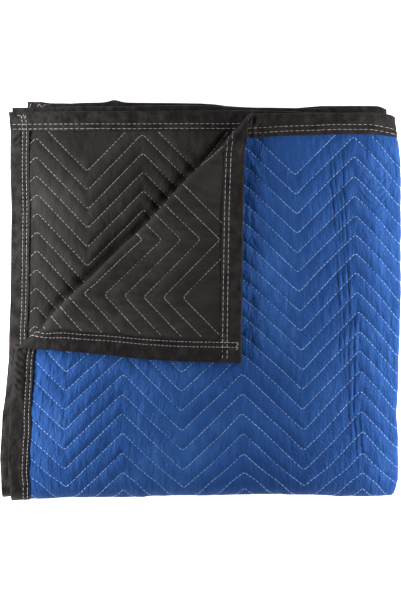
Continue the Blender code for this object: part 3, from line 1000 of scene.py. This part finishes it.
def back_sheet(look):
    taped, fine, coarse = 0.01, 0.0019, 0.012
    corner = 0.305  # the turned corner, and what shows of the second ply beside it
    side_a = (0.0, taped), (0.02, fine), (corner, coarse)
    side_b = (LEG + RIGHT_ARC, coarse), (WIDTH - corner, fine), (WIDTH - 0.02, taped)
    v = (*side_a, (PASS_1, 0.004), (PASS_1 + FRONT_ARC, 0.03))
    return sheet("black_back_cloth", -1, (*side_a, (LEG, 0.0015), *side_b), v + INNER_STRETCHES, look)


# ---------- bindings


def tape_cover(key, side, line):
    return table(EDGES[key, side][0], line)


def tape_rows(key, side, line):
    """Distances from the cloth's edge of the inner and outer rows of stitches."""
    cover, inner, apart = tape_cover(key, side, line), *EDGES[key, side][1:]
    if (key, side) == ("end_1", 1):
        inner = inner - table(ROWS_BEND, line)
    return cover - inner, cover - inner - apart


def tape_profile():
    """Tape round the cloth's edge, as (side, share of the cover, distance past the share, w)."""
    nose = TAPE_CLEAR + TAPE_THICK
    heights = (TAPE_INNER, TAPE_INNER, (TAPE_INNER + TAPE_OUTER) / 2, TAPE_OUTER)
    lip = [(1, 1, gap, w) for gap, w in zip(TAPE_LIP, heights)]
    flat = [(1, share, 0.0, TAPE_OUTER) for share in np.linspace(0.95, 0.1, 15)]
    angles = np.linspace(0, math.pi, 9)
    turn = [(1, 0, 0.0002 - nose * math.sin(angle), TAPE_OUTER * math.cos(angle)) for angle in angles]
    back = [(-1, share, gap, -w) for _, share, gap, w in reversed(lip + flat)]
    return np.array(lip + flat + turn + back)


def gathers(key, side, line, distance):
    """Crumples of the tape where the cloth is pulled in, slanting across it."""
    found = 0
    for edge, face, middle, reach, slant in GATHERS:
        if (edge, face) == (key, side):
            wander = 0.25 * TAPE_NOISE.at(line / 0.02, distance / 0.01 + 3)
            wave = np.abs(np.sin(np.pi * ((line - middle + slant * distance) / GATHER_LENGTH + wander)))
            height = GATHER_HEIGHT * ridge(line - middle, reach)
            found = found + height * (wave - GATHER_LEVEL) * smooth(distance / 0.004)
    return found


def tape_relief(key, side, line, distance):
    """Soft crumples of the tape and the dents of its two stitched rows."""
    seed = 17 * list(EDGES).index((key, side))
    relief = 0
    for (height, length, width), shift in zip(TAPE_CRUMPLES, (seed, 7)):
        relief = relief + height * TAPE_NOISE.at(line / length + seed, distance / width + shift)
    rows = tape_rows(key, side, line)
    gathered = 1
    for row in rows:
        relief = relief * (1 - swell(ROW_CALM, distance - row))
        gathered = gathered - swell(GATHER_CALM, distance - row)
    relief = relief - swell(ROW_DENT, distance - rows[0]) - swell(ROW_DENT, distance - rows[1])
    relief = relief + swell(ROW_PUFF, distance - (rows[0] + rows[1]) / 2)
    return np.maximum(relief + gathered * gathers(key, side, line, distance), DEEPEST_DENT)


def binding(name, key, line, look):
    """A strip of tape folded over one edge, along these lines."""
    side, share, gap, w = (column[None, :] for column in tape_profile().T)
    line = line[:, None]
    front = side > 0
    distance = np.where(front, tape_cover(key, 1, line), tape_cover(key, -1, line)) * share + gap
    relief = np.where(front, tape_relief(key, 1, line, distance), tape_relief(key, -1, line, distance))
    outside = np.abs(w) >= TAPE_OUTER - 1e-5
    w = w + np.sign(w) * np.where(outside, relief, 0)
    if key in SIDE_EDGES:
        tucked = smooth((SIDE_TUCK - np.minimum(line, LENGTH - line)) / SIDE_TUCK_OVER)
        w = w * (1 - SIDE_TUCK_PRESS * tucked)
    u, v = flat_place(key, line, distance)
    return grid_mesh(name, place(u, v, w), np.stack([u, v], -1), key in ("side_a", "end_2"), look)


def flat_place(key, line, distance):
    """The blanket's (u, v) at a place along an edge and a distance in from it."""
    pair = {
        "side_a": (distance, line),
        "side_b": (WIDTH - distance, line),
        "end_1": (line, distance),
        "end_2": (line, LENGTH - distance),
    }[key]
    return np.broadcast_arrays(*(np.asarray(value, float) for value in pair))


# ---------- thread


def stitch_mesh(name, starts, ends, bows, normals, radius, look):
    """Many stitches as one mesh: each a slim bead, bowed as the cloth is, that dips in at both ends."""
    rings, widths, heights = np.array(BEAD).T
    angle = 2 * np.pi * np.arange(BEAD_SIDES) / BEAD_SIDES
    forward = ends - starts
    across_stitch = np.cross(forward, normals)
    across_stitch /= np.linalg.norm(across_stitch, axis=1)[:, None]
    middles = starts[:, None] + forward[:, None] * rings[:, None]
    middles = middles + bows[:, None] * (4 * rings * (1 - rings))[:, None]
    middles = middles + normals[:, None] * (heights * radius)[:, None]
    offset = across_stitch[:, None, None] * np.cos(angle)[:, None]
    offset = offset + normals[:, None, None] * np.sin(angle)[:, None]
    points = (middles[:, :, None] + offset * (widths * radius)[:, None, None]).reshape(-1, 3)
    points[:, 2] = np.maximum(points[:, 2], THREAD_FLOOR_GAP)
    quads = quad_grid(len(rings), BEAD_SIDES, closed=True)[:, ::-1]
    first = np.arange(len(starts)) * len(rings) * BEAD_SIDES
    return smooth_piece(name, points, (quads[None] + first[:, None, None]).reshape(-1, 4), look)


def stitches_on(path_u, path_v, pitch, length, seed):
    """Stitches along a path on the flat cloth, as (u, v, u, v) of their ends."""
    travelled = np.concatenate([[0], np.cumsum(np.hypot(np.diff(path_u), np.diff(path_v)))])
    count = int(travelled[-1] / pitch)
    if count < 1:
        return np.zeros((0, 4))
    jitter = np.random.RandomState(seed).uniform(-STITCH_JITTER, STITCH_JITTER, (count, 2)) * pitch
    begin = np.arange(count) * pitch + jitter[:, 0] + STITCH_START * pitch
    finish = begin + length + jitter[:, 1]
    return np.stack(
        [np.interp(at, travelled, line) for at in (begin, finish) for line in (path_u, path_v)], -1
    )


def middles_of(flat):
    """(u, v) of the middle of each flat stitch."""
    return (flat[:, 0] + flat[:, 2]) / 2, (flat[:, 1] + flat[:, 3]) / 2


def sewn(flat, surface, side):
    """Start points, end points, bows and normals on the folded cloth of flat stitches."""
    lows, highs = [], []
    height, length = STITCH_SUNK
    for u, v in (flat[:, :2].T, flat[:, 2:].T, middles_of(flat)):
        w = surface(u, v)
        uneven = height * PULL_NOISE.at(u / length, v / length + 77)
        lows.append(place(u, v, w + side * (STITCH_LIFT + uneven)))
        highs.append(place(u, v, w + side * NORMAL_STEP))
    normal = sum(high - low for low, high in zip(lows, highs))
    pressed = np.linalg.norm(normal, axis=1) < 1e-6  # flat against the floor, where both are the same
    normal[pressed] = (0.0, 0.0, -1.0)
    normal /= np.linalg.norm(normal, axis=1)[:, None]
    bow = lows[2] - (lows[0] + lows[1]) / 2
    return lows[0], lows[1], bow, normal


def quilting_rows():
    """Flat stitches of all the zigzag rows. Each row has its own seed."""
    u = np.arange(0.0, WIDTH, ROW_STEP)
    flat = np.concatenate(
        [
            stitches_on(u, row_line(number, u), QUILT_PITCH, QUILT_STITCH, 100 + number)
            for number in range(FIRST_ROW, LAST_ROW)
        ]
    )
    u, v = middles_of(flat)
    return flat[(edge_distance(u, v) > QUILT_FROM) & (v < LENGTH)]


def clear_of_tape(flat, side):
    u, v = middles_of(flat)
    gaps = (
        u - tape_cover("side_a", side, v),
        WIDTH - u - tape_cover("side_b", side, v),
        v - tape_cover("end_1", side, u),
        LENGTH - v - tape_cover("end_2", side, u),
    )
    return np.min(gaps, 0) > CLEAR_OF_TAPE


def shown(flat, side):
    """Which stitches on this side of the cloth can be seen from somewhere outside the pack."""
    u, v = middles_of(flat)
    x, offset = across(u, v, 0 * u)
    y, _ = along(u, v, offset)
    past = past_turn(x, y)
    on_a, top_pass = u <= LEG, v <= PASS_1
    turned = on_a & top_pass & (past > 0)
    if side < 0:
        return turned | ((u > LEG) & top_pass & (past > BACK_SHOWN_FROM))
    covered = on_a & top_pass & (x < COVERED_X) & (y > COVERED_Y)
    right = (u > LEG - FOLD_SHOWN) & (u < LEG + RIGHT_ARC + FOLD_SHOWN)
    outer = on_a & (v < STARTS[4])
    return (right | outer) & ~turned & ~covered


def cloth_thread(name, side, look):
    flat = quilting_rows()
    flat = flat[shown(flat, side) & clear_of_tape(flat, side)]
    found = sewn(flat, lambda u, v: cloth_offset(u, v, side), side)
    return stitch_mesh(name, *found, QUILT_THREAD, look)


def loose_ends():
    """Thread ends at the corners, as flat stitches that each go on from the one before."""
    return np.array([(*first, *second) for path in LOOSE_ENDS for first, second in zip(path, path[1:])])


def tape_surface(key, side, u, v):
    """w of the rows sewn on the tape. The side rows run on across the end tapes."""
    height = np.full_like(u, TAPE_OUTER - TAPE_STITCH_SUNK)
    if key in SIDE_EDGES:
        for end, far in (("end_1", v), ("end_2", LENGTH - v)):
            crossed = 0.0002 + np.maximum(tape_relief(end, side, u, far), -0.0002)
            height = height + crossed * smooth((CROSSED - far) / 0.002)
    return side * height


def tape_thread(name, look):
    """The two stitched rows on each side of the tape that shows, and the loose ends."""
    found = []
    seed = 300
    for key, side in EDGES:
        length, rows = (LENGTH, SIDE_ROWS) if key in SIDE_EDGES else (WIDTH, END_ROWS)
        pitch, stitch, margin = rows
        line = np.arange(margin, length - margin, TAPE_ROW_STEP)
        for distance in tape_rows(key, side, line):
            seed += 1
            flat = stitches_on(*flat_place(key, line, distance), pitch, stitch, seed)
            flat = flat[shown(flat, side)]
            if len(flat):
                found.append(sewn(flat, lambda u, v: tape_surface(key, side, u, v), side))
    found.append(sewn(loose_ends(), lambda u, v: np.full_like(u, -TAPE_OUTER - LOOSE_LIFT), -1))
    return stitch_mesh(name, *(np.concatenate(values) for values in zip(*found)), TAPE_THREAD, look)


# ---------- scene


def floor_look():
    glow = {"Emission_Color": (1, 1, 1, 1), "Emission_Strength": 0.8}
    pale = (0.93, 0.93, 0.93, 1)
    return Nodes("pale floor", Roughness=0.9, Base_Color=pale, Specular_IOR_Level=0.1, **glow).material


def stage():
    bpy.ops.mesh.primitive_plane_add(size=FLOOR_SIZE, location=(0, 0, -FLOOR_DROP))
    floor = bpy.context.object
    floor.name = "floor"
    floor.data.materials.append(floor_look())
    scene = bpy.context.scene
    scene.world = bpy.data.worlds.new("studio")
    scene.world.use_nodes = True
    background = scene.world.node_tree.nodes["Background"]
    background.inputs["Color"].default_value = (1, 1, 1, 1)
    background.inputs["Strength"].default_value = WORLD_STRENGTH
    for name, spot, size, watts in LAMPS:
        light = bpy.data.lights.new(name, "AREA")
        light.shape = "RECTANGLE"
        light.energy = watts
        light.size, light.size_y = size
        lamp = bpy.data.objects.new(name, light)
        lamp.location = spot
        lamp.rotation_euler = (-Vector(spot)).to_track_quat("-Z", "Y").to_euler()
        scene.collection.objects.link(lamp)
    scene.view_settings.view_transform = "Standard"
    camera = bpy.data.objects.new("camera", bpy.data.cameras.new("camera"))
    camera.location = (0, 0, CAMERA_HEIGHT)
    camera.data.sensor_fit = "VERTICAL"
    camera.data.angle_y = 2 * math.atan(0.5 * VIEW_HEIGHT / (CAMERA_HEIGHT - PACK_TOP))
    scene.collection.objects.link(camera)
    scene.camera = camera


def main():
    stage()
    tape, shaded_tape = tape_look("binding tape", TAPE), tape_look("binding tape with painted shade", SHADED_TAPE)
    white = thread_look("white thread", WHITE_THREAD)
    face = face_sheet(cloth_look("blue cloth", BLUE, 0.8, 0.25, 0.0028))
    back = back_sheet(cloth_look("black cloth", BLACK, 0.85, 0.8, 0.0012))
    over = TAPE_CLEAR + TAPE_THICK
    side_lines = np.linspace(SIDE_TAPE_START, LENGTH - SIDE_TAPE_START, SIDE_TAPE_LINES)
    fold = np.linspace(LEG, LEG + RIGHT_ARC, FOLD_LINES)
    on_a = np.linspace(-over, LEG, END_TAPE_LINES)
    on_b = np.linspace(LEG + RIGHT_ARC, WIDTH + over, END_TAPE_LINES)
    end_lines = np.concatenate([on_a, fold[1:-1], on_b])
    bindings = {
        # Side edge A's tape takes the darker copy of the tape: painted shade.
        "side_binding_a": binding("side_tape_a", "side_a", side_lines, shaded_tape),
        "side_binding_b": binding("side_tape_b", "side_b", side_lines, tape),
        "end_binding_1": binding("end_tape_1", "end_1", end_lines, tape),
        "end_binding_2": binding("end_tape_2", "end_2", end_lines, tape),
    }
    face_thread = cloth_thread("face_quilting_thread", 1, thread_look("pale thread", PALE_THREAD))
    back_thread = cloth_thread("back_quilting_thread", -1, white)
    topstitching = tape_thread("topstitching", white)

    for piece, node, slot in (
        (face, "face_panel", "face_cloth"),
        (back, "back_panel", "back_cloth"),
        *((piece, node, "binding_tape") for node, piece in bindings.items()),
        (face_thread, "face_panel", "face_cloth"),
        (back_thread, "back_panel", "back_cloth"),
        (topstitching, "end_binding_1", "binding_tape"),
    ):
        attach(piece, "root")
        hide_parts(node)


main()
